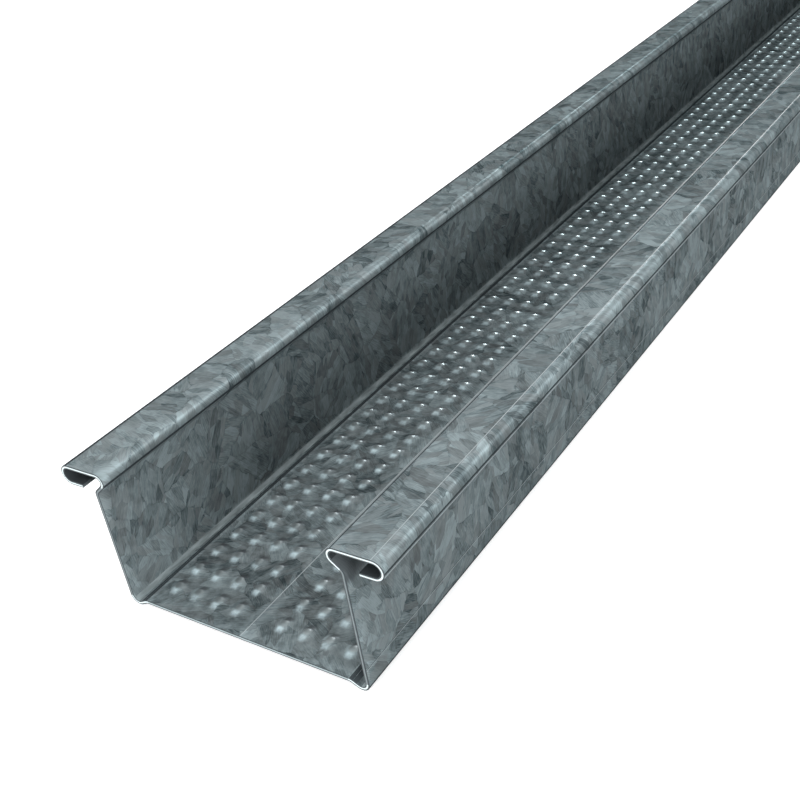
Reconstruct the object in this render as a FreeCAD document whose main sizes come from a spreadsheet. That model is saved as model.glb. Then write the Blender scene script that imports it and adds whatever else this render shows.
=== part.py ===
import FreeCAD, Part
import math
import os
import Sketcher

# Ceiling furring channel: one length of galvanised sheet, roll formed into an open trough.
# The web has a bead under each wall, the walls stand upright, and a neck at the top of each wall
# leads into a flat lip that ends in a hook turned back under it.
#
# X runs across the channel, Y along it and Z up. The origin is under the middle of the channel, level
# with the beads that it rests on. Lengths are in millimetres and angles in degrees.

NODE = "furring_channel"

DRIVING_SIZES = (
    ("channel_length", 3600.0, "overall length, as the stock is sold"),
    ("wall_width", 38.0, "across the outer faces of the two walls"),
    ("lip_overhang", 1.65, "how far a lip stands in over the trough from the inner face of its wall"),
    ("lip_projection", 5.35, "how far a lip stands out past the outer face of its wall"),
    ("hook_gap", 2.0, "clear gap between a wall and the tip of its hook"),
    ("channel_depth", 20.75, "from the beads to the top of the lips"),
    ("sheet_thickness", 0.55, "sheet with its coating"),
    ("bead_depth", 0.65, "drop from the underside of the web to the beads"),
    ("bead_slope", 27.0, "slope of the web where it drops to a bead"),
    ("web_bend", 0.9, "inner radius where the web starts to drop"),
    ("corner_bend", 0.7, "inner radius between web and wall"),
    ("neck_lean", 50.0, "how far the neck leans in from the wall"),
    ("neck_bend", 0.6, "inner radius between wall and neck"),
    ("lip_bend", 0.65, "inner radius between neck and lip"),
    ("hook_bend", 0.875, "inner radius at the outer edge of the lip"),
)

# How a sketch constraint numbers its own origin, and the points of an edge.
ORIGIN = -1
START, END, CENTRE = range(1, 4)


def make_size_sheet(doc):
    """A spreadsheet with one named cell for each driving size."""
    sheet = doc.addObject("Spreadsheet::Sheet", "sizes")
    for row, (alias, value, meaning) in enumerate(DRIVING_SIZES, start=1):
        sheet.set(f"A{row}", alias)
        sheet.set(f"B{row}", str(value))
        sheet.set(f"C{row}", meaning)
        sheet.setAlias(f"B{row}", alias)
    doc.recompute()
    return sheet


def half_section_steps(size):
    """The run of the sheet from the middle of the web to the tip of one hook.

    Each step is (name, length, turn, inner radius). A straight has no turn, and a bend has no length.
    A turn to the left, which is the trough's side, is positive.
    """
    thick = size.sheet_thickness
    slope = math.radians(size.bead_slope)
    lean = math.radians(size.neck_lean)
    corner_under = size.corner_bend + thick
    neck_under = size.neck_bend + thick
    hook_outside = size.hook_bend + thick
    lip_under = size.channel_depth - thick

    drop_in_bends = (size.web_bend + corner_under) * (1 - math.cos(slope))
    ramp = (size.bead_depth - drop_in_bends) / math.sin(slope)
    bead_run = (size.web_bend + corner_under) * math.sin(slope) + ramp * math.cos(slope)
    web = size.wall_width / 2 - corner_under - bead_run

    reach_in_bends = (neck_under + size.lip_bend) * (1 - math.cos(lean))
    neck = (size.lip_overhang - reach_in_bends) / math.sin(lean)
    neck_rise = (neck_under + size.lip_bend) * math.sin(lean) + neck * math.cos(lean)
    wall = lip_under - size.lip_bend - neck_rise - corner_under

    lip = size.lip_overhang + size.lip_projection - size.lip_bend - hook_outside
    hook = size.lip_projection - size.hook_gap - hook_outside
    return (
        ("web", web, 0, 0),
        ("web_bend", 0, -slope, size.web_bend),
        ("ramp", ramp, 0, 0),
        ("corner_bend", 0, math.pi / 2 + slope, size.corner_bend),
        ("wall", wall, 0, 0),
        ("neck_bend", 0, lean, size.neck_bend),
        ("neck", neck, 0, 0),
        ("lip_bend", 0, -math.pi / 2 - lean, size.lip_bend),
        ("lip", lip, 0, 0),
        ("hook_bend", 0, -math.pi, size.hook_bend),
        ("hook", hook, 0, 0),
    )


def unit(angle):
    return FreeCAD.Vector(math.cos(angle), math.sin(angle), 0)


def arc(centre, radius, first, last):
    circle = Part.Circle(centre, FreeCAD.Vector(0, 0, 1), radius)
    return Part.ArcOfCircle(circle, min(first, last), max(first, last))


def draw_sheet(sketch, steps, start, thick):
    """Draws the two faces of the sheet along the steps.

    Returns {step name: edge number} for the under face and for the trough face.
    """
    under, trough = {}, {}
    point, heading = start, 0.0
    for name, length, turn, inner_radius in steps:
        left = unit(heading + math.pi / 2) * thick
        if turn:
            side = math.copysign(1, turn)
            under_radius = inner_radius + (thick if side > 0 else 0)
            trough_radius = inner_radius + (0 if side > 0 else thick)
            first = heading - side * math.pi / 2
            last = first + turn
            centre = point - unit(first) * under_radius
            under[name] = sketch.addGeometry(arc(centre, under_radius, first, last))
            trough[name] = sketch.addGeometry(arc(centre, trough_radius, first, last))
            point = centre + unit(last) * under_radius
            heading += turn
        else:
            far = point + unit(heading) * length
            under[name] = sketch.addGeometry(Part.LineSegment(point, far))
            trough[name] = sketch.addGeometry(Part.LineSegment(point + left, far + left))
            point = far
    return under, trough


def near_and_far_ends(turn):
    """Which end of an edge comes first along the sheet, and which last.

    An arc is always drawn turning left, so one that turns right is met at its end first.
    """
    return (END, START) if turn < 0 else (START, END)


def join_along_sheet(sketch, steps, face):
    """Makes each edge of one face run smoothly into the next."""
    for (name, _, turn, _), (next_name, _, next_turn, _) in zip(steps, steps[1:]):
        far_end = near_and_far_ends(turn)[1]
        near_end = near_and_far_ends(next_turn)[0]
        ends = (face[name], far_end, face[next_name], near_end)
        sketch.addConstraint(Sketcher.Constraint("Tangent", *ends))


def close_end(sketch, edge, end, other_edge, other_end):
    """A straight cut across the sheet from one face to the other."""
    points = [sketch.getPoint(edge, end), sketch.getPoint(other_edge, other_end)]
    cut = sketch.addGeometry(Part.LineSegment(*points))
    sketch.addConstraint(Sketcher.Constraint("Coincident", cut, START, edge, end))
    sketch.addConstraint(Sketcher.Constraint("Coincident", cut, END, other_edge, other_end))
    return cut


def drive(sketch, name, formula, *constraint):
    """Adds a named dimension and binds it to the cells of the size sheet."""
    number = sketch.addConstraint(Sketcher.Constraint(*constraint))
    sketch.renameConstraint(number, name)
    sketch.setExpression(f"Constraints.{name}", formula)


def constrain_section(sketch, steps, under, trough, size):
    """Ties the drawn half section to the driving sizes."""
    for face in (under, trough):
        join_along_sheet(sketch, steps, face)
    tip = close_end(sketch, under["hook"], END, trough["hook"], END)
    sketch.addConstraint(Sketcher.Constraint("Vertical", tip))
    close_end(sketch, under["web"], START, trough["web"], START)
    for level in (under["web"], trough["web"], under["lip"], under["hook"], trough["hook"]):
        sketch.addConstraint(Sketcher.Constraint("Horizontal", level))
    sketch.addConstraint(Sketcher.Constraint("Vertical", under["wall"]))
    for face in (under, trough):
        sketch.addConstraint(Sketcher.Constraint("Vertical", ORIGIN, START, face["web"], START))

    for name, _, turn, inner_radius in steps:
        if not turn:
            continue
        inner, outer = (trough[name], under[name]) if turn > 0 else (under[name], trough[name])
        outer_radius = inner_radius + size.sheet_thickness
        outer_formula = f"sizes.{name} + sizes.sheet_thickness"
        sketch.addConstraint(Sketcher.Constraint("Coincident", inner, CENTRE, outer, CENTRE))
        drive(sketch, name + "_inside", f"sizes.{name}", "Radius", inner, inner_radius)
        drive(sketch, name + "_outside", outer_formula, "Radius", outer, outer_radius)

    def across(name, formula, edge, end):
        here = sketch.getPoint(edge, end).x
        drive(sketch, name, formula, "DistanceX", ORIGIN, START, edge, end, here)

    def up(name, formula, edge, end):
        here = sketch.getPoint(edge, end).y
        drive(sketch, name, formula, "DistanceY", ORIGIN, START, edge, end, here)

    wall_face = "sizes.wall_width / 2"
    lip_edge = wall_face + " + sizes.lip_projection"
    up("web_height", "sizes.bead_depth", under["web"], START)
    up("corner_height", "sizes.corner_bend + sizes.sheet_thickness", under["corner_bend"], CENTRE)
    up("lip_height", "sizes.channel_depth", trough["lip"], START)
    across("wall_face", wall_face, under["wall"], START)
    across("lip_centre", wall_face + " - sizes.lip_overhang + sizes.lip_bend", under["lip_bend"], CENTRE)
    hook_centre = lip_edge + " - sizes.hook_bend - sizes.sheet_thickness"
    across("hook_centre", hook_centre, under["hook_bend"], CENTRE)
    across("hook_tip", wall_face + " + sizes.hook_gap", under["hook"], END)
    slope, lean = math.radians(size.bead_slope), math.radians(size.neck_lean)
    drive(sketch, "ramp_angle", "-sizes.bead_slope", "Angle", under["ramp"], -slope)
    drive(sketch, "neck_angle", "90 + sizes.neck_lean", "Angle", under["neck"], math.pi / 2 + lean)


def origin_plane(body, role):
    return next(item for item in body.Origin.OriginFeatures if item.Role == role)


def make_channel(doc, size):
    """The channel: half its section drawn, drawn out to the full length and mirrored across the middle."""
    body = doc.addObject("PartDesign::Body", NODE)
    body.Label = NODE
    sketch = body.newObject("Sketcher::SketchObject", "half_section")
    sketch.AttachmentSupport = (origin_plane(body, "XZ_Plane"), [""])
    sketch.MapMode = "FlatFace"
    steps = half_section_steps(size)
    start = FreeCAD.Vector(0, size.bead_depth, 0)
    under, trough = draw_sheet(sketch, steps, start, size.sheet_thickness)
    constrain_section(sketch, steps, under, trough, size)
    doc.recompute()
    if not sketch.FullyConstrained:
        raise RuntimeError("the half section is not fully constrained")

    half = body.newObject("PartDesign::Pad", "half_channel")
    half.Profile = sketch
    half.SideType = "Symmetric"
    half.setExpression("Length", "sizes.channel_length")
    whole = body.newObject("PartDesign::Mirrored", "whole_channel")
    whole.Originals = [half]
    whole.MirrorPlane = (origin_plane(body, "YZ_Plane"), [""])
    body.Tip = whole
    doc.recompute()
    return body


def stop_if_broken(doc, bodies):
    """Raises an error if any object failed to rebuild or any piece is not one valid solid."""
    for item in doc.Objects:
        if {"Invalid", "Error"} & set(item.State):
            raise RuntimeError(f"{item.Label} did not rebuild: {item.State}")
    for body in bodies:
        if body.Shape.isNull() or not body.Shape.isValid() or len(body.Shape.Solids) != 1:
            raise RuntimeError(f"{body.Label} is not one valid solid")


def main():
    doc = FreeCAD.newDocument("ceiling_furring_channel")
    size = make_size_sheet(doc)
    bodies = [make_channel(doc, size)]
    stop_if_broken(doc, bodies)
    os.makedirs("parts", exist_ok=True)
    for body in bodies:
        body.Shape.exportStep(f"parts/{body.Label}.step")


main()
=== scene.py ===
import math
from collections import namedtuple

import bpy
from mathutils import Matrix, Vector


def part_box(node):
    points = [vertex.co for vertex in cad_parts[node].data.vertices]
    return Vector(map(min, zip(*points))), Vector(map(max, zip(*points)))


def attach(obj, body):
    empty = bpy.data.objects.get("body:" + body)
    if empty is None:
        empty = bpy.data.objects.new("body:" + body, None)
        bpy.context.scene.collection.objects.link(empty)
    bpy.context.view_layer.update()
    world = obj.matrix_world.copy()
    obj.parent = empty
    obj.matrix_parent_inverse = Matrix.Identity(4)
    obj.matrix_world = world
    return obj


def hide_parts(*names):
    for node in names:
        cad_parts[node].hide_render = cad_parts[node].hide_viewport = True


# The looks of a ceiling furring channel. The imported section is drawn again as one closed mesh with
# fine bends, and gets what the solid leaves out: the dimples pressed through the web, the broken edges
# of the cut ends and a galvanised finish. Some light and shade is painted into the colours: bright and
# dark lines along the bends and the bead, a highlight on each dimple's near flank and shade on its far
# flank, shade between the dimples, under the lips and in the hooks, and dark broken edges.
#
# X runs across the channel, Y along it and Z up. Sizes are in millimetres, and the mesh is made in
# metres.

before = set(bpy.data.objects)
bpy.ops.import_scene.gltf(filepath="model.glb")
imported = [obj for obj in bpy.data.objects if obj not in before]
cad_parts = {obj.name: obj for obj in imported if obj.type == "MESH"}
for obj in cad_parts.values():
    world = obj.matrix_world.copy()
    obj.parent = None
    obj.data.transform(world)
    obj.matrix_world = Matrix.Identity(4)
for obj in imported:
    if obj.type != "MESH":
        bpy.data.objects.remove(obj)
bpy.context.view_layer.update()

NODE = "furring_channel"
MM = 0.001
low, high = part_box(NODE)

# The section. Its outer sizes are the frame's.
LENGTH = (high.y - low.y) / MM
DEPTH = (high.z - low.z) / MM
HALF_WIDTH = (high.x - low.x) / MM / 2
HALF_WALLS = 19.0
SHEET = 0.55
LIP_OVERHANG = 1.65
HOOK_GAP = 2.0
BEAD_DEPTH = 0.65
BEAD_SLOPE = math.radians(27)
NECK_LEAN = math.radians(50)
WEB_BEND = 0.9
CORNER_BEND = 0.7
NECK_BEND = 0.6
LIP_BEND = 0.65
HOOK_BEND = 0.875

# How the section is divided: the most that a bend turns in one strip, the narrow strip at either side
# of a flat and the most of the flat that it takes, and the least share of a step worth a strip.
BEND_STEP = math.radians(15)
FLAT_MARGIN = 0.12
MOST_MARGIN = 0.2
LEAST_SHARE = 0.002

# How far a cut end's edges are broken, along the channel and, for the trough's face and the underside,
# into the sheet.
EDGE_BREAK = 0.03
EDGE_BORDERS = (0.15, 0.19)

# The dimples, in straight rows and columns on both sides of a plain middle strip.
DIMPLE_RADIUS = 1.72
DIMPLE_HEIGHT = 0.43
ROW_PITCH = 4.04
FIRST_ROW = 3.85
COLUMN_PITCH = 3.47
FIRST_COLUMN = 3.58
COLUMNS = 4
COLUMNS_OFF_MIDDLE = 0.2

# How finely a dimple is drawn: rings of points as shares of its radius, 0 for its peak, and the points
# in a ring, for its top and its underside. Then the rows from the near end up to which the first two
# levels serve, and the rows in a bay, which is as long as a face of the plain strips.
CLOSE = (((1.0, 0.78, 0.5, 0.25, 0.0), 12), ((0.6,), 4))
FINE = (((1.0, 0.70, 0.35, 0.0), 8), ((0.6,), 4))
PLAIN = (((0.5, 0.0), 4), ((0.5,), 3))
CLOSE_ROWS = 10
FINE_ROWS = 72
ROWS_PER_BAY = 37

# The map on which the finish can be baked: bands of rows side by side, and the cut ends in strips above
# them.
BAKE_MAP = "OFBake"
BANDS = 4
BAND_ROWS = 6 * ROWS_PER_BAY
MAP_GAP = 6.0
CAP_HEIGHT = 4.0

# Finishes, in the order of the mesh's materials: the zinc, a line of painted highlight, a line of
# painted shade, the bead's painted highlight, the broken edges' painted shade and the cut ends. Those up
# to the bead's painted highlight are smooth, and those from the cut end on lie on the ends.
SPANGLE, HIGHLIGHT_LINE, SHADE_LINE, BEAD_HIGHLIGHT, EDGE_SHADE, CUT_END, CUT_WEB, CUT_WALL = range(8)

# The outer bends, whose upper face is rubbed, the steps whose lower face is hidden in the hooks and gets
# deep painted shade, and all those whose lower face under a lip gets painted shade. The top of a wall,
# which gets that painted shade too, is the share of its run above this one.
RUBBED_STEPS = {"lip_bend", "hook_bend"}
DEEP_SHADE_STEPS = {"lip_bend", "lip", "hook_bend", "hook"}
SHADE_STEPS = DEEP_SHADE_STEPS | {"wall_top", "neck_bend", "neck"}
WALL_TOP = 0.86

# The faces of the sheet, the sides of the channel, and the steps of each side that are cut dully.
TROUGH, UNDER = range(2)
LEFT, RIGHT = -1, 1
DULL_CUTS = {LEFT: ("wall", "neck_bend", "neck"), RIGHT: ("wall", "neck_bend")}

# Painted lines along the sheet, bright ones a painted highlight and dark ones painted shade, on bends,
# creases and edges: (step of the section, face, sides, middle, width, finish), the middle as a share of
# the step and the width in millimetres.
PAINTED_LINES = (
    ("web_bend", TROUGH, (LEFT, RIGHT), 0.60, 0.40, SHADE_LINE),
    ("ramp", TROUGH, (LEFT, RIGHT), 0.35, 0.60, SHADE_LINE),
    ("corner_bend", TROUGH, (LEFT, RIGHT), 0.50, 1.10, BEAD_HIGHLIGHT),
    ("corner_bend", UNDER, (LEFT, RIGHT), 0.76, 0.72, SHADE_LINE),
    ("wall", UNDER, (LEFT, RIGHT), 0.132, 0.08, HIGHLIGHT_LINE),
    ("wall", UNDER, (LEFT, RIGHT), 0.140, 0.06, SHADE_LINE),
    ("lip_bend", TROUGH, (LEFT,), 0.17, 0.40, SHADE_LINE),
    ("lip_bend", TROUGH, (RIGHT,), 0.78, 0.12, HIGHLIGHT_LINE),
    ("lip_bend", TROUGH, (RIGHT,), 0.88, 0.16, SHADE_LINE),
    ("lip", TROUGH, (RIGHT,), 0.985, 0.11, HIGHLIGHT_LINE),
    ("hook_bend", TROUGH, (LEFT,), 0.105, 0.66, SHADE_LINE),
    ("hook_bend", TROUGH, (RIGHT,), 0.51, 0.24, SHADE_LINE),
    ("hook_bend", TROUGH, (RIGHT,), 0.615, 0.20, HIGHLIGHT_LINE),
    ("hook_bend", TROUGH, (RIGHT,), 0.74, 0.46, SHADE_LINE),
)

# The line scribed along the web, off its middle.
MIDDLE_LINE_AT = -0.25
MIDDLE_LINE_WIDTH = 0.14
MIDDLE_LINE_HEIGHT = 0.03

# A station is a place on the section with a point on each face, and a strip runs from one to the next:
# the finish of its two faces and of its cut end, whether it has dimples, and its step of the section.
Station = namedtuple("Station", "trough under")
Strip = namedtuple("Strip", "finishes cut dimpled step")
PLAIN_STRIP = Strip((SPANGLE, SPANGLE), CUT_WEB, False, "web")
DIMPLED_STRIP = PLAIN_STRIP._replace(dimpled=True)


def half_section_steps():
    """The run of the sheet from the middle of the web to a hook's tip, as the solid has it.

    Each step is (name, length, turn, inner radius). A turn towards the trough is positive.
    """
    corner_under = CORNER_BEND + SHEET
    neck_under = NECK_BEND + SHEET
    hook_outside = HOOK_BEND + SHEET
    lip_projection = HALF_WIDTH - HALF_WALLS

    drop_in_bends = (WEB_BEND + corner_under) * (1 - math.cos(BEAD_SLOPE))
    ramp = (BEAD_DEPTH - drop_in_bends) / math.sin(BEAD_SLOPE)
    bead_run = (WEB_BEND + corner_under) * math.sin(BEAD_SLOPE) + ramp * math.cos(BEAD_SLOPE)
    web = HALF_WALLS - corner_under - bead_run

    reach_in_bends = (neck_under + LIP_BEND) * (1 - math.cos(NECK_LEAN))
    neck = (LIP_OVERHANG - reach_in_bends) / math.sin(NECK_LEAN)
    neck_rise = (neck_under + LIP_BEND) * math.sin(NECK_LEAN) + neck * math.cos(NECK_LEAN)
    wall = DEPTH - SHEET - LIP_BEND - neck_rise - corner_under

    lip = LIP_OVERHANG + lip_projection - LIP_BEND - hook_outside
    hook = lip_projection - HOOK_GAP - hook_outside
    return (
        ("web", web, 0, 0),
        ("web_bend", 0, -BEAD_SLOPE, WEB_BEND),
        ("ramp", ramp, 0, 0),
        ("corner_bend", 0, math.pi / 2 + BEAD_SLOPE, CORNER_BEND),
        ("wall", wall, 0, 0),
        ("neck_bend", 0, NECK_LEAN, NECK_BEND),
        ("neck", neck, 0, 0),
        ("lip_bend", 0, -math.pi / 2 - NECK_LEAN, LIP_BEND),
        ("lip", lip, 0, 0),
        ("hook_bend", 0, -math.pi, HOOK_BEND),
        ("hook", hook, 0, 0),
    )


def step_run(length, turn, inner_radius):
    """How far a step runs along the middle of the sheet."""
    return length if not turn else abs(turn) * (inner_radius + SHEET / 2)


def line_shares(name, run):
    """(face, sides, first share, last share, finish) of each painted line on a step."""
    found = []
    for step, face, sides, middle, width, finish in PAINTED_LINES:
        if step == name:
            half = width / run / 2
            found.append((face, sides, middle - half, min(middle + half, 1.0), finish))
    return found


def cut_shares(name, length, turn, inner_radius):
    """Where a step is divided, as shares of its run."""
    run = step_run(length, turn, inner_radius)
    if turn:
        parts = max(2, math.ceil(abs(turn) / BEND_STEP))
        shares = {i / parts for i in range(parts + 1)}
    else:
        margin = min(FLAT_MARGIN / run, MOST_MARGIN)
        shares = {0.0, margin, 1 - margin, 1.0}
    if name == "wall":
        shares.add(WALL_TOP)
    lines = line_shares(name, run)
    for _, _, first, last, _ in lines:
        shares |= {first, last}
    kept = [0.0]
    for share in sorted(shares):
        if share - kept[-1] > LEAST_SHARE:
            kept.append(share)
    return kept, lines


def across(point, angle, distance):
    """The point at that distance in a direction of the section's plane."""
    return (point[0] + math.cos(angle) * distance, point[1] + math.sin(angle) * distance)


def side_section(hand):
    """Stations and strips from one edge of the web's flat to the tip of that side's hook.

    They are drawn to the right for either hand.
    """
    stations, strips = [], []
    point, heading = (0.0, BEAD_DEPTH), 0.0
    for name, length, turn, inner_radius in half_section_steps():
        if name == "web":
            point = across(point, heading, length)
            stations.append(Station(across(point, heading + math.pi / 2, SHEET), point))
            continue
        shares, lines = cut_shares(name, length, turn, inner_radius)
        side = math.copysign(1, turn)
        radii = (inner_radius, inner_radius + SHEET)
        if turn < 0:
            radii = radii[::-1]
        start_angle = heading - side * math.pi / 2
        centre = across(point, start_angle, -radii[UNDER])
        for before, share in zip(shares, shares[1:]):
            if turn:
                angle = start_angle + turn * share
                stations.append(Station(*(across(centre, angle, radius) for radius in radii)))
            else:
                under = across(point, heading, length * share)
                stations.append(Station(across(under, heading + math.pi / 2, SHEET), under))
            middle = (before + share) / 2
            finishes = [SPANGLE, SPANGLE]
            for face, sides, first, last, finish in lines:
                if hand in sides and first < middle < last:
                    finishes[face] = finish
            cut = CUT_WALL if name in DULL_CUTS[hand] else CUT_END
            step = "wall_top" if name == "wall" and middle > WALL_TOP else name
            strips.append(Strip(tuple(finishes), cut, False, step))
        point = stations[-1].under
        heading += turn
    return stations, strips


def web_station(x, raised=0.0):
    return Station((x, BEAD_DEPTH + SHEET + raised), (x, BEAD_DEPTH))


def web_section(half_flat):
    """Stations and strips between the edges of the web's flat, left to right, without the edges."""
    first_edge = FIRST_COLUMN - COLUMN_PITCH / 2
    last_edge = first_edge + COLUMNS * COLUMN_PITCH
    column_edges = [first_edge + i * COLUMN_PITCH for i in range(COLUMNS + 1)]
    margin = half_flat - (half_flat - last_edge - COLUMNS_OFF_MIDDLE) / 2
    line_left = MIDDLE_LINE_AT - MIDDLE_LINE_WIDTH / 2
    line_right = MIDDLE_LINE_AT + MIDDLE_LINE_WIDTH / 2

    stations = [web_station(-margin)]
    strips = [PLAIN_STRIP, PLAIN_STRIP]
    stations += [web_station(COLUMNS_OFF_MIDDLE - x) for x in reversed(column_edges)]
    strips += [DIMPLED_STRIP] * COLUMNS + [PLAIN_STRIP] * 2
    stations += [web_station(line_left - FLAT_MARGIN), web_station(line_left, MIDDLE_LINE_HEIGHT)]
    stations += [web_station(line_right, MIDDLE_LINE_HEIGHT), web_station(line_right + FLAT_MARGIN)]
    # The scribed line gets the finish of the painted highlight lines.
    strips += [PLAIN_STRIP._replace(finishes=(HIGHLIGHT_LINE, SPANGLE)), PLAIN_STRIP, PLAIN_STRIP]
    stations += [web_station(COLUMNS_OFF_MIDDLE + x) for x in column_edges]
    strips += [DIMPLED_STRIP] * COLUMNS + [PLAIN_STRIP] * 2
    stations += [web_station(margin)]
    return stations, strips


def whole_section():
    """Stations and strips from the tip of the left hook to the tip of the right one."""
    right, right_strips = side_section(RIGHT)
    left, left_strips = side_section(LEFT)
    left = [Station(*((-x, z) for x, z in station)) for station in reversed(left)]
    web, web_strips = web_section(right[0].under[0])
    return left + web + right, left_strips[::-1] + web_strips + right_strips


def row_edges():
    """Where the rows of dimples begin and end, from the near end of the channel."""
    rows = int((LENGTH - FIRST_ROW - ROW_PITCH / 2 - EDGE_BREAK) / ROW_PITCH)
    return [FIRST_ROW + (i - 0.5) * ROW_PITCH for i in range(rows + 1)]


def dimple_detail(row):
    if row < CLOSE_ROWS:
        return CLOSE
    return FINE if row < FINE_ROWS else PLAIN


def stops_along(inner):
    """Every place along the channel where a line has a point, with the two broken edges."""
    return [0.0, EDGE_BREAK, *inner, LENGTH - EDGE_BREAK, LENGTH]


# How many of a line's stops at either end belong to the broken edge.
END_STOPS = 2

# The attribute with each point's place on the flat sheet, in millimetres across and along, and how it is
# pressed: 0 on plain sheet, 1 between dimples, 2 on a crown and -1 on a rubbed bend.
FLAT_PLACE = "flat_place"
# The attribute with each point's painted shading: 1 for a painted highlight on a dimple's near flank, -1
# for painted shade on its far flank and on the lower faces under the lips, and -2 for deeper painted
# shade in the hooks.
PAINTED_SHADING = "painted_shading"


def dimple_profile(share):
    """Height, as a share of the dimple's, and slope at a share of its radius: a soft-footed dome."""
    inside = 1 - share ** 2
    return inside ** 2, 4 * share * inside * DIMPLE_HEIGHT / DIMPLE_RADIUS


# Where each dimple gets its painted highlight and its painted shade, along the channel in shares of the
# radius, with how far either spot spreads.
HIGHLIGHT_SPOT = (-0.52, 0.25)
SHADE_SPOT = (0.50, 0.30)


def painted_shading_at(aside, ahead):
    """How much painted highlight a dimple has at a place in shares of its radius, below 0 where it has
    painted shade.
    """
    strengths = []
    for middle, size in (HIGHLIGHT_SPOT, SHADE_SPOT):
        distance = math.hypot(aside, ahead - middle)
        strengths.append(math.exp(-(distance / size) ** 2 / 2))
    return strengths[0] - strengths[1]


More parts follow.
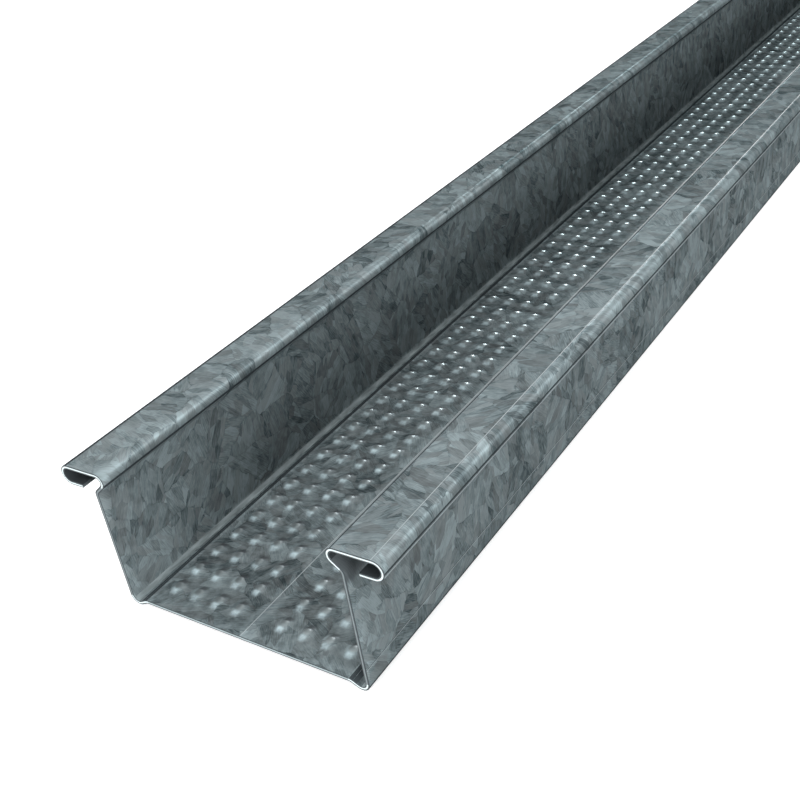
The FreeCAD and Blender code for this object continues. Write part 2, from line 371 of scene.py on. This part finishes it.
class ChannelMesh:
    """Gathers the points and faces of the channel."""

    def __init__(self):
        self.points = []
        self.flat_places = []
        self.painted_shading = []
        self.normals = []
        self.faces = []
        self.finishes = []

    def point(self, x, along, z, run, pressed, painted_shading, normal=(0, 0, 0)):
        """A point, with its run round the section from the left hook's tip, as on the flat sheet.

        A normal of zeros is left to Blender.
        """
        self.points.append((x * MM, (along - LENGTH / 2) * MM, z * MM))
        self.flat_places.append((run, along, pressed))
        self.normals.append(normal)
        self.painted_shading.append(painted_shading)
        return len(self.points) - 1

    def face(self, corners, finish):
        self.faces.append(tuple(corners))
        self.finishes.append(finish)

    def line(self, place, end_place, run, stops, pressing_and_shading):
        """The points of one line along the channel, as (distance along, point)."""
        last = len(stops) - 1
        made = []
        for i, along in enumerate(stops):
            x, z = end_place if i in (0, last) else place
            made.append((along, self.point(x, along, z, run, *pressing_and_shading)))
        return made

    def sew(self, left, right, finish):
        """Faces between two neighbouring lines, which may have different stops."""
        i = j = 0
        while i < len(left) - 1 or j < len(right) - 1:
            next_left = left[i + 1][0] if i < len(left) - 1 else math.inf
            next_right = right[j + 1][0] if j < len(right) - 1 else math.inf
            corners = [left[i][1], right[j][1]]
            reached = min(next_left, next_right)
            if next_right == reached:
                j += 1
                corners.append(right[j][1])
            if next_left == reached:
                i += 1
                corners.append(left[i][1])
            # The broken edges get a dark finish, painted shade along the ends' outline.
            at_end = reached in (EDGE_BREAK, LENGTH)
            self.face(corners, EDGE_SHADE if at_end else finish)

    def ring(self, centre, run, across_sign, share, base, count):
        """Points round a dimple at a share of its radius, turning as the face around them does."""
        x, along = centre
        radius = DIMPLE_RADIUS * share
        raised, slope = dimple_profile(share)
        made = []
        for i in range(count):
            angle = 2 * math.pi * (i + 0.5) / count
            aside, ahead = math.cos(angle), math.sin(angle)
            outward = Vector((across_sign * slope * aside, slope * ahead, 1)).normalized() * across_sign
            place_x = x + across_sign * radius * aside
            place = (place_x, along + radius * ahead, base + DIMPLE_HEIGHT * raised)
            # A painted highlight on the near flank and painted shade on the far flank.
            painted_shading = painted_shading_at(share * aside, share * ahead)
            made.append(self.point(*place, run + radius * aside, 1 + raised, painted_shading, tuple(outward)))
        return made

    def surround(self, corners, ring, finish):
        """Faces between a dimple's outer ring and the four corners of its cell."""
        count = len(ring)
        for i in range(count):
            # The quarter of the cell that this side of the ring looks towards, and the next side's.
            quarter = 4 * (i + 1) // count
            next_quarter = 4 * (i + 2) // count
            here, ahead = ring[i], ring[(i + 1) % count]
            self.face((here, corners[(quarter + 2) % 4], ahead), finish)
            for passed in range(quarter, next_quarter):
                self.face((ahead, corners[(passed + 2) % 4], corners[(passed + 3) % 4]), finish)

    def dimple(self, corners, centre, run, across_sign, base, rings, count, finish):
        """One cell of the web with its dimple. Rings are shares of the radius, from the outside in."""
        loops = [self.ring(centre, run, across_sign, share, base, count) for share in rings if share]
        self.surround(corners, loops[0], finish)
        for outer, inner in zip(loops, loops[1:]):
            for i in range(count):
                k = (i + 1) % count
                self.face((outer[i], outer[k], inner[k], inner[i]), finish)
        inmost = loops[-1]
        if rings[-1]:
            self.face(inmost, finish)
            return
        peak = self.point(*centre, base + DIMPLE_HEIGHT, run, 2.0, painted_shading_at(0, 0), (0, 0, across_sign))
        for i in range(count):
            self.face((inmost[i], inmost[(i + 1) % count], peak), finish)

    def press_column(self, left, right, face, finish):
        """A column of dimples between two lines that both have the rows' stops."""
        first_row = END_STOPS
        last_row = len(left) - 1 - END_STOPS
        across_sign = 1 if face == TROUGH else -1
        on_left, on_right = left[first_row][1], right[first_row][1]
        base = self.points[on_left][2] / MM
        middle = (self.points[on_left][0] + self.points[on_right][0]) / 2 / MM
        run = (self.flat_places[on_left][0] + self.flat_places[on_right][0]) / 2
        self.sew(left[:first_row + 1], right[:first_row + 1], finish)
        self.sew(left[last_row:], right[last_row:], finish)
        for row in range(first_row, last_row):
            corners = (left[row][1], right[row][1], right[row + 1][1], left[row + 1][1])
            centre = (middle, (left[row][0] + left[row + 1][0]) / 2)
            rings, count = dimple_detail(row - first_row)[face]
            self.dimple(corners, centre, run, across_sign, base, rings, count, finish)

    def bake_map(self, mesh, sheet_run):
        """The sheet unrolled round both faces, cut along its length into bands that lie side by side."""
        girth = 2 * (sheet_run + SHEET)
        borders = row_edges()[BAND_ROWS::BAND_ROWS][:BANDS - 1]
        starts = [0.0, *borders]
        caps_at = LENGTH - borders[-1] + MAP_GAP
        values = []
        for corners, finish in zip(self.faces, self.finishes):
            places = [self.flat_places[i] for i in corners]
            runs = [place[0] for place in places]
            alongs = [place[1] for place in places]
            if finish >= CUT_END:
                cap_at = caps_at + (CAP_HEIGHT + MAP_GAP) * (alongs[0] > LENGTH / 2)
                for run in runs:
                    on_trough = run <= sheet_run
                    run_back = 2 * sheet_run + SHEET - run
                    values += [run if on_trough else run_back, cap_at + CAP_HEIGHT * on_trough]
                continue
            band = sum(sum(alongs) / len(alongs) > border for border in borders)
            past_seam = max(runs) - min(runs) > sheet_run
            for run, along in zip(runs, alongs):
                turn = girth if past_seam and run < sheet_run else 0.0
                values += [band * (girth + MAP_GAP) + run + turn, along - starts[band]]
        span = max(BANDS * (girth + MAP_GAP), caps_at + 2 * (CAP_HEIGHT + MAP_GAP))
        mesh.uv_layers.new(name=BAKE_MAP).data.foreach_set("uv", [value / span for value in values])

    def make_object(self, name, materials, sheet_run):
        """The gathered mesh as an object, with its finishes, attributes and map."""
        mesh = bpy.data.meshes.new(name)
        mesh.from_pydata(self.points, [], self.faces)
        for material in materials:
            mesh.materials.append(material)
        mesh.polygons.foreach_set("material_index", self.finishes)
        mesh.polygons.foreach_set("use_smooth", [f <= BEAD_HIGHLIGHT for f in self.finishes])
        flat = mesh.attributes.new(FLAT_PLACE, "FLOAT_VECTOR", "POINT")
        flat.data.foreach_set("vector", [value for place in self.flat_places for value in place])
        painted_shading = mesh.attributes.new(PAINTED_SHADING, "FLOAT", "POINT")
        painted_shading.data.foreach_set("value", self.painted_shading)
        self.bake_map(mesh, sheet_run)
        mesh.update()
        mesh.normals_split_custom_set_from_vertices(self.normals)
        made = bpy.data.objects.new(name, mesh)
        bpy.context.collection.objects.link(made)
        return made


def toward(place, other, distance):
    """A point that far from one place on the way to another."""
    length = math.dist(place, other)
    return tuple(a + (b - a) * distance / length for a, b in zip(place, other))


def runs_across(stations):
    """How far each station lies from the left hook's tip, measured along the middle of the sheet."""
    middles = [[(a + b) / 2 for a, b in zip(*station)] for station in stations]
    runs = [0.0]
    for before, here in zip(middles, middles[1:]):
        runs.append(runs[-1] + math.dist(before, here))
    return runs


def make_channel(materials):
    """The whole channel as one closed mesh."""
    stations, strips = whole_section()
    rows = stops_along(row_edges())
    bays = stops_along(row_edges()[::ROWS_PER_BAY])
    mesh = ChannelMesh()
    lines = {TROUGH: [], UNDER: []}
    runs = runs_across(stations)
    for i, station in enumerate(stations):
        beside = strips[max(0, i - 1):i + 1]
        beside_dimples = any(strip.dimpled for strip in beside)
        steps = {strip.step for strip in beside}
        pressed = {face: float(beside_dimples) for face in (TROUGH, UNDER)}
        if steps <= RUBBED_STEPS:
            pressed[TROUGH] = -1.0
        # Painted shade on the lower faces under the lips, deeper on those in the hooks.
        painted_shading = {TROUGH: 0.0, UNDER: -float(steps <= SHADE_STEPS) - float(steps <= DEEP_SHADE_STEPS)}
        stops = rows if beside_dimples else bays
        for face in (TROUGH, UNDER):
            end_place = toward(station[face], station[1 - face], EDGE_BORDERS[face])
            run = runs[i] if face == TROUGH else 2 * runs[-1] + SHEET - runs[i]
            pressing_and_shading = (pressed[face], painted_shading[face])
            lines[face].append(mesh.line(station[face], end_place, run, stops, pressing_and_shading))

    trough, under = lines[TROUGH], lines[UNDER]
    for i, strip in enumerate(strips):
        pairs = ((TROUGH, trough[i], trough[i + 1]), (UNDER, under[i + 1], under[i]))
        for face, left, right in pairs:
            finish = strip.finishes[face]
            if strip.dimpled:
                mesh.press_column(left, right, face, finish)
            else:
                mesh.sew(left, right, finish)
        near = (under[i][0], under[i + 1][0], trough[i + 1][0], trough[i][0])
        far = (trough[i][-1], trough[i + 1][-1], under[i + 1][-1], under[i][-1])
        for cap in (near, far):
            mesh.face((index for _, index in cap), strip.cut)
    mesh.sew(trough[-1], under[-1], SPANGLE)
    mesh.sew(under[0], trough[0], SPANGLE)
    return mesh.make_object("channel", materials, runs[-1])


class Shader:
    """A material with a principled surface, and short calls to add nodes to it."""

    def __init__(self, name):
        self.material = bpy.data.materials.new(name)
        self.material.use_nodes = True
        self.tree = self.material.node_tree
        self.surface = self.tree.nodes["Principled BSDF"]

    def put(self, socket, value):
        """A value or the output of another node goes into a socket."""
        if isinstance(value, bpy.types.NodeSocket):
            self.tree.links.new(value, socket)
        else:
            socket.default_value = value

    def node(self, kind, inputs=None, **settings):
        made = self.tree.nodes.new(kind)
        for name, value in settings.items():
            setattr(made, name, value)
        for name, value in (inputs or {}).items():
            self.put(made.inputs[name], value)
        return made

    def calc(self, operation, *values):
        """What the math node makes of numbers and outputs."""
        made = self.node("ShaderNodeMath", operation=operation)
        for socket, value in zip(made.inputs, values):
            self.put(socket, value)
        return made.outputs[0]

    def vector(self, operation, first, second=None, scale=None):
        made = self.node("ShaderNodeVectorMath", {0: first}, operation=operation)
        if second is not None:
            self.put(made.inputs[1], second)
        if scale is not None:
            self.put(made.inputs["Scale"], scale)
        return made.outputs["Value" if operation == "DOT_PRODUCT" else "Vector"]

    def spread(self, value, first, last):
        """A share from 0 to 1 spread over a range."""
        made = self.node("ShaderNodeMapRange", {"Value": value, "To Min": first, "To Max": last})
        return made.outputs["Result"]

    def share(self, value, limits, full=1.0):
        """A share that rises smoothly from 0 to full as the value goes from one limit to the other."""
        span = {"Value": value, "From Min": limits[0], "From Max": limits[1], "To Max": full}
        made = self.node("ShaderNodeMapRange", span, interpolation_type="SMOOTHSTEP")
        return made.outputs["Result"]

    def steps(self, value, *changes):
        """A value that goes over to each (share, next value) in turn."""
        for share, next_value in changes:
            made = self.node("ShaderNodeMix", {"Factor": share, "A": value, "B": next_value})
            value = made.outputs["Result"]
        return value

    def blend(self, share, first, second):
        """A colour that goes from the first to the second by a share."""
        made = self.node("ShaderNodeMix", data_type="RGBA")
        self.put(made.inputs["Factor"], share)
        self.put(made.inputs[6], first)
        self.put(made.inputs[7], second)
        return made.outputs[2]

    def position(self):
        """The place on the channel in millimetres."""
        place = self.node("ShaderNodeTexCoord").outputs["Object"]
        return self.vector("SCALE", place, scale=1 / MM)

    def off_middle(self, chance, scale):
        """A random colour as a vector to any side, that long at most across."""
        return self.vector("SCALE", self.vector("SUBTRACT", chance, (0.5, 0.5, 0.5)), scale=scale)

    def parts(self, vector):
        """The outputs X, Y and Z of a vector."""
        return self.node("ShaderNodeSeparateXYZ", {0: vector}).outputs


# Zinc spangle, in millimetres and in shares of the tone's range.
CLOUD_SIZE = 2.0
CRYSTAL_SIZE = 5.0
CRYSTAL_DRIFT = 0.7
CRYSTAL_NUMBERS = 90.0
BARB_SWING = math.radians(120)
SHARD_WIDTH = 1.1
SHARD_STRETCH = 0.42
STREAK_WIDTH = 0.11
STREAK_STRETCH = 0.08
SMUDGE_SIZE = 1.3
CRACK_WIDTH = 0.22
STREAK_BUMP = 0.10
STREAK_DEPTH = 0.03
TONES = {"crystal": 0.46, "shard": 0.56, "streak": 1.35, "cloud": 0.70, "smudge": 0.55, "crack": 0.14}
DARK_ZINC = (0.049, 0.063, 0.068, 1)
LIGHT_ZINC = (0.236, 0.282, 0.293, 1)
WARM_ZINC = (0.145, 0.153, 0.155, 1)
WARM_SHARDS = (-0.3, 0.5)
ZINC_METAL = 0.025
BEND_METAL = 0.22
FLANK_METAL = 0.04
CROWN_METAL = 0.50
ZINC_ROUGH = 0.58
TONE_GLOSS = 0.08
BEND_ROUGH = 0.42
FLANK_ROUGH = 0.36
CROWN_ROUGH = 0.34
# The painted shade between dimples as a spread of the colour, then the painted highlight, the painted
# shade and the deeper painted shade in the hooks.
SHADE_BETWEEN_DIMPLES = (0.34, 1.14)
PAINTED_HIGHLIGHT_ZINC = (0.46, 0.56, 0.59, 1)
PAINTED_SHADE_ZINC = (0.055, 0.060, 0.064, 1)
PAINTED_DEEP_SHADE_ZINC = (0.022, 0.025, 0.027, 1)
CROWN_TINT = (0.17, 0.195, 0.20, 1)
ZINC_EDGE_TINT = (0.3, 0.32, 0.32, 1)

# Where each kind of gloss and of painted highlight and shade sets in and where it is full, by how a
# point is pressed or by its painted shading.
PRESSED_FROM = (0.2, 1.0)
RAISED_FROM = (1.6, 1.1)
FLANK_FROM = (1.05, 1.40)
CROWN_FROM = (1.62, 1.92)
BEND_FROM = (-0.3, -0.9)
HIGHLIGHT_FROM = (0.1, 0.95)
SHADE_FROM = (-0.15, -0.85)
DEEP_SHADE_FROM = (-1.1, -1.9)
SHADE_SHARE = 0.8
HIGHLIGHT_PATCHES = (-0.3, 1.7)


def barbs(shader, place, centre, chance):
    """The place in its crystal's own grain: along a barb, across it, and a number for the crystal."""
    from_centre = shader.vector("SUBTRACT", place, centre)
    angle = shader.spread(chance["X"], -BARB_SWING / 2, BARB_SWING / 2)
    turn = {"Vector": from_centre, "Angle": angle}
    turned = shader.node("ShaderNodeVectorRotate", turn, rotation_type="Z_AXIS")
    along, aside, _ = shader.parts(turned.outputs[0])
    number = shader.calc("MULTIPLY", chance["Y"], CRYSTAL_NUMBERS)
    return shader.node("ShaderNodeCombineXYZ", {0: along, 1: aside, 2: number}).outputs[0]


def spangle(shader, sheet):
    """Ragged crystals, each a feather of shards and fine streaks with its own tone.

    Returns the tone, a chance for each shard, the streaks and the smudges.
    """
    billows = {"Vector": sheet, "Scale": 1 / CLOUD_SIZE, "Detail": 4.0}
    cloud = shader.node("ShaderNodeTexNoise", billows)
    drift = shader.off_middle(cloud.outputs["Color"], 2 * CRYSTAL_DRIFT)
    cells = {"Vector": shader.vector("ADD", sheet, drift), "Scale": 1 / CRYSTAL_SIZE}
    flat = {"voronoi_dimensions": "2D"}
    crystals = shader.node("ShaderNodeTexVoronoi", cells, **flat)
    borders = shader.node("ShaderNodeTexVoronoi", cells, **flat, feature="DISTANCE_TO_EDGE")
    chance = shader.parts(crystals.outputs["Color"])
    barb = barbs(shader, sheet, crystals.outputs["Position"], chance)

    shard_place = shader.vector("MULTIPLY", barb, (SHARD_STRETCH, 1, 1))
    shards = shader.node("ShaderNodeTexVoronoi", {"Vector": shard_place, "Scale": 1 / SHARD_WIDTH})
    shard = shader.parts(shards.outputs["Color"])
    streak_place = shader.vector("MULTIPLY", barb, (STREAK_STRETCH, 1, 1))
    lines = {"Vector": streak_place, "Scale": 1 / STREAK_WIDTH, "Detail": 2.0, "Roughness": 0.6}
    streak = shader.node("ShaderNodeTexNoise", lines).outputs[0]
    spots = {"Vector": sheet, "Scale": 1 / SMUDGE_SIZE, "Detail": 3.0, "Roughness": 0.6}
    smudge = shader.node("ShaderNodeTexNoise", spots).outputs[0]
    crack = shader.calc("DIVIDE", borders.outputs["Distance"], CRACK_WIDTH / CRYSTAL_SIZE)

    layers = {
        "crack": shader.calc("MINIMUM", crack, 1.0),
        "crystal": chance["Z"],
        "shard": shard["X"],
        "streak": streak,
        "cloud": cloud.outputs[0],
        "smudge": smudge,
    }
    tone = 0.5 - sum(TONES.values()) / 2
    for name, layer in layers.items():
        tone = shader.calc("MULTIPLY_ADD", layer, TONES[name], tone)
    return tone, shard["Y"], streak, smudge


def zinc_with_painted_shading(shader, colour, pressed, smudge):
    """The zinc's colour, with painted shading: patchy painted shade between dimples, a painted highlight
    on each dimple's near flank, painted shade on its far flank and under the lips, and deeper painted
    shade in the hooks.
    """
    on_web = shader.share(pressed, PRESSED_FROM)
    between = shader.calc("MULTIPLY", on_web, shader.share(pressed, RAISED_FROM))
    # Patchy painted shade between the dimples.
    painted_shade_between = shader.vector("SCALE", colour, scale=shader.spread(smudge, *SHADE_BETWEEN_DIMPLES))
    colour = shader.blend(between, colour, painted_shade_between)
    # A painted highlight on the dimples' near flanks, painted shade on their far flanks and under the
    # lips, and deeper painted shade in the hooks.
    painted_shading = shader.node("ShaderNodeAttribute", attribute_name=PAINTED_SHADING).outputs["Fac"]
    patches = shader.spread(smudge, *HIGHLIGHT_PATCHES)
    painted_highlight = shader.calc("MULTIPLY", shader.share(painted_shading, HIGHLIGHT_FROM), patches)
    colour = shader.blend(painted_highlight, colour, PAINTED_HIGHLIGHT_ZINC)
    colour = shader.blend(shader.share(painted_shading, SHADE_FROM, SHADE_SHARE), colour, PAINTED_SHADE_ZINC)
    return shader.blend(shader.share(painted_shading, DEEP_SHADE_FROM, SHADE_SHARE), colour, PAINTED_DEEP_SHADE_ZINC)


def galvanised():
    """Zinc spangle, worn glossier by the rollers, with painted highlight and painted shade in its
    colour.
    """
    shader = Shader("galvanised_spangle")
    sheet = shader.node("ShaderNodeAttribute", attribute_name=FLAT_PLACE).outputs["Vector"]
    tone, warmth, streak, smudge = spangle(shader, sheet)
    colour = shader.blend(tone, DARK_ZINC, LIGHT_ZINC)
    colour = shader.blend(shader.spread(warmth, *WARM_SHARDS), colour, WARM_ZINC)
    grooves = {"Height": streak, "Strength": STREAK_BUMP, "Distance": STREAK_DEPTH * MM}
    bump = shader.node("ShaderNodeBump", grooves)

    pressed = shader.parts(sheet)["Z"]
    flank = shader.share(pressed, FLANK_FROM)
    crown = shader.share(pressed, CROWN_FROM)
    bend = shader.share(pressed, BEND_FROM)
    # The painted highlight and shade.
    colour = zinc_with_painted_shading(shader, colour, pressed, smudge)
    colour = shader.blend(crown, colour, CROWN_TINT)
    rough = shader.calc("MULTIPLY_ADD", tone, -TONE_GLOSS, ZINC_ROUGH + TONE_GLOSS / 2)
    metal = shader.steps(ZINC_METAL, (bend, BEND_METAL), (flank, FLANK_METAL), (crown, CROWN_METAL))
    rough = shader.steps(rough, (bend, BEND_ROUGH), (flank, FLANK_ROUGH), (crown, CROWN_ROUGH))

    surface = shader.surface.inputs
    shader.put(surface["Metallic"], metal)
    surface["Specular IOR Level"].default_value = 0.0
    surface["Specular Tint"].default_value = ZINC_EDGE_TINT
    shader.put(surface["Base Color"], colour)
    shader.put(surface["Roughness"], rough)
    shader.put(surface["Normal"], bump.outputs[0])
    return shader.material


# The grain of bare steel, in millimetres, and how far its roughness swings about its own.
GRAIN_STRETCH = (1.0, 0.2, 1.0)
GRAINS_PER_MM = 1.6
GRAIN_BUMP = 0.1
GRAIN_DEPTH = 0.02
GRAIN_GLOSS = 0.06


def bare_steel(name, dark, light, roughness, metal=0.5):
    """Steel without zinc: a fine grain across the sheet, as shears and rollers leave it."""
    shader = Shader(name)
    place = shader.vector("MULTIPLY", shader.position(), GRAIN_STRETCH)
    specks = {"Vector": place, "Scale": GRAINS_PER_MM, "Detail": 4.0}
    grain = shader.node("ShaderNodeTexNoise", specks).outputs[0]
    grooves = {"Height": grain, "Strength": GRAIN_BUMP, "Distance": GRAIN_DEPTH * MM}
    bump = shader.node("ShaderNodeBump", grooves)
    surface = shader.surface.inputs
    surface["Metallic"].default_value = metal
    surface["Specular IOR Level"].default_value = metal
    shader.put(surface["Base Color"], shader.blend(grain, dark, light))
    rough = shader.spread(grain, roughness - GRAIN_GLOSS, roughness + GRAIN_GLOSS)
    shader.put(surface["Roughness"], rough)
    shader.put(surface["Normal"], bump.outputs[0])
    return shader.material


def channel_materials():
    """The finishes of the channel, in the order of their numbers."""
    return (
        galvanised(),
        # The next four are painted light: a highlight line, a shade line, the bead's highlight and the
        # broken edges' shade.
        bare_steel("painted_highlight_line", (0.26, 0.29, 0.30, 1), (0.36, 0.39, 0.40, 1), 0.55, 0.02),
        bare_steel("painted_shade_line", (0.03, 0.036, 0.04, 1), (0.06, 0.07, 0.075, 1), 0.50, 0.0),
        bare_steel("painted_bead_highlight", (0.01, 0.02, 0.023, 1), (0.44, 0.50, 0.51, 1), 0.60, 0.0),
        bare_steel("painted_edge_shade", (0.03, 0.04, 0.045, 1), (0.06, 0.07, 0.075, 1), 0.60),
        bare_steel("cut_bright", (0.66, 0.76, 0.77, 1), (0.80, 0.87, 0.88, 1), 0.40),
        bare_steel("cut_web", (0.30, 0.38, 0.39, 1), (0.44, 0.50, 0.51, 1), 0.45),
        bare_steel("cut_dull", (0.13, 0.16, 0.17, 1), (0.24, 0.27, 0.28, 1), 0.50),
    )


# The light that falls from all round, as a share of the white that is seen, and the floor.
SKY = 0.12
FLOOR_SIZE = 16.0
FLOOR_GREY = (0.6, 0.6, 0.6, 1)
FLOOR_ROUGH = 0.9
FLOOR_GLOW = 0.72
WHITE = (1, 1, 1, 1)


def seen_directly(tree):
    """1 for the camera's rays and those that a mirror or glass passes on, and 0 for light that falls."""
    path = tree.nodes.new("ShaderNodeLightPath")
    seen = path.outputs["Is Camera Ray"]
    for name in ("Is Glossy Ray", "Is Transmission Ray"):
        either = tree.nodes.new("ShaderNodeMath")
        either.operation = "MAXIMUM"
        tree.links.new(seen, either.inputs[0])
        tree.links.new(path.outputs[name], either.inputs[1])
        seen = either.outputs[0]
    return seen


def make_world():
    world = bpy.data.worlds.new("white_studio")
    bpy.context.scene.world = world
    world.use_nodes = True
    tree = world.node_tree
    background = tree.nodes["Background"]
    background.inputs["Color"].default_value = WHITE
    level = tree.nodes.new("ShaderNodeMapRange")
    level.inputs["To Min"].default_value = SKY
    level.inputs["To Max"].default_value = 1.0
    tree.links.new(seen_directly(tree), level.inputs["Value"])
    tree.links.new(level.outputs["Result"], background.inputs["Strength"])


def make_floor():
    """A pale floor that is white where it is lit, and keeps the object's shadow."""
    material = bpy.data.materials.new("floor_white")
    material.use_nodes = True
    tree = material.node_tree
    matt = tree.nodes["Principled BSDF"]
    matt.inputs["Base Color"].default_value = FLOOR_GREY
    matt.inputs["Roughness"].default_value = FLOOR_ROUGH
    matt.inputs["Emission Color"].default_value = WHITE
    glow = tree.nodes.new("ShaderNodeMath")
    glow.operation = "MULTIPLY"
    glow.inputs[1].default_value = FLOOR_GLOW
    tree.links.new(seen_directly(tree), glow.inputs[0])
    tree.links.new(glow.outputs[0], matt.inputs["Emission Strength"])

    half = FLOOR_SIZE / 2
    corners = [(-half, -half, low.z), (half, -half, low.z), (half, half, low.z), (-half, half, low.z)]
    mesh = bpy.data.meshes.new("floor")
    mesh.from_pydata(corners, [], [(0, 1, 2, 3)])
    mesh.materials.append(material)
    floor = bpy.data.objects.new("floor", mesh)
    bpy.context.collection.objects.link(floor)


def make_sun(name, toward_lamp, strength, spread, colour, glint):
    """A broad soft lamp, far away in a direction. A glint lamp shows in polished spots alone."""
    data = bpy.data.lights.new(name, "SUN")
    data.energy = strength
    data.color = colour
    data.angle = math.radians(spread)
    data.use_shadow = not glint
    lamp = place_lamp(name, data, Vector(toward_lamp))
    lamp.visible_diffuse = not glint


def make_box_lamp(name, from_near_end, width, length, power):
    """A soft box that faces the near end of the channel. Its place is from that end, in metres."""
    data = bpy.data.lights.new(name, "AREA")
    data.shape = "RECTANGLE"
    data.size = width
    data.size_y = length
    data.energy = power
    lamp = place_lamp(name, data, Vector(from_near_end))
    lamp.location = near_end() + Vector(from_near_end)


def place_lamp(name, data, toward_lamp):
    lamp = bpy.data.objects.new(name, data)
    lamp.rotation_mode = "QUATERNION"
    lamp.rotation_quaternion = toward_lamp.to_track_quat("Z", "Y")
    bpy.context.collection.objects.link(lamp)
    return lamp


def near_end():
    """The middle of the near end, level with the floor."""
    return Vector(((low.x + high.x) / 2, low.y, low.z))


# Far soft lamps: (name, direction to the lamp, strength, spread in degrees, colour, whether it gives
# glints alone).
SUNS = (
    ("overhead_sun", (0.05, 0.10, 0.99), 0.80, 80, (0.95, 0.99, 1), False),
    ("right_sun", (0.62, 0.62, 0.48), 0.25, 40, (0.96, 0.99, 1), False),
    ("left_sun", (-0.72, 0.10, 0.69), 0.50, 30, (0.96, 0.99, 1), False),
    ("side_sun", (0.92, -0.36, 0.14), 2.05, 30, (0.96, 0.99, 1), False),
    ("front_sun", (-0.05, -0.95, 0.31), 2.4, 16, (0.93, 0.98, 1), False),
    ("bend_sun", (0.61, 0.59, 0.49), 1.9, 20, (0.95, 0.99, 1), True),
    ("glint_sun", (-0.33, 0.90, 0.28), 6.8, 10, (1, 0.96, 0.96), True),
)
# Soft boxes over the near end: (name, place from that end in metres, width, length, power).
BOXES = (
    ("near_box", (0.015, 0.015, 0.12), 0.08, 0.08, 0.066),
)


def make_lamps():
    for sun in SUNS:
        make_sun(*sun)
    for box in BOXES:
        make_box_lamp(*box)


# The camera, by its place from the middle of the near end, level with the floor.
CAMERA_FROM_NEAR_END = (81.7, -66.5, 91.9)
CAMERA_AZIMUTH = math.radians(37.82)
CAMERA_ELEVATION = math.radians(30.92)
CAMERA_ROLL = math.radians(-9.67)
CAMERA_LENS = 50.0
CAMERA_SENSOR = 36.0
CAMERA_REACH = (0.005, 50.0)


def make_camera():
    """The photograph's camera, which looks down on the near end from the right."""
    data = bpy.data.cameras.new("camera")
    data.lens = CAMERA_LENS
    data.sensor_width = CAMERA_SENSOR
    data.clip_start, data.clip_end = CAMERA_REACH
    level_back = Vector((math.sin(CAMERA_AZIMUTH), -math.cos(CAMERA_AZIMUTH), 0))
    level_right = Vector((math.cos(CAMERA_AZIMUTH), math.sin(CAMERA_AZIMUTH), 0))
    back = level_back * math.cos(CAMERA_ELEVATION) + Vector((0, 0, math.sin(CAMERA_ELEVATION)))
    right = level_right * math.cos(CAMERA_ROLL) + back.cross(level_right) * math.sin(CAMERA_ROLL)
    up = back.cross(right)
    camera = bpy.data.objects.new("camera", data)
    turn = Matrix((right, up, back)).transposed().to_4x4()
    camera.matrix_world = Matrix.Translation(near_end() + Vector(CAMERA_FROM_NEAR_END) * MM) @ turn
    bpy.context.collection.objects.link(camera)
    bpy.context.scene.camera = camera


channel = make_channel(channel_materials())
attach(channel, "root")
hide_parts(NODE)

make_world()
make_floor()
make_lamps()
make_camera()
bpy.context.scene.view_settings.view_transform = "Standard"
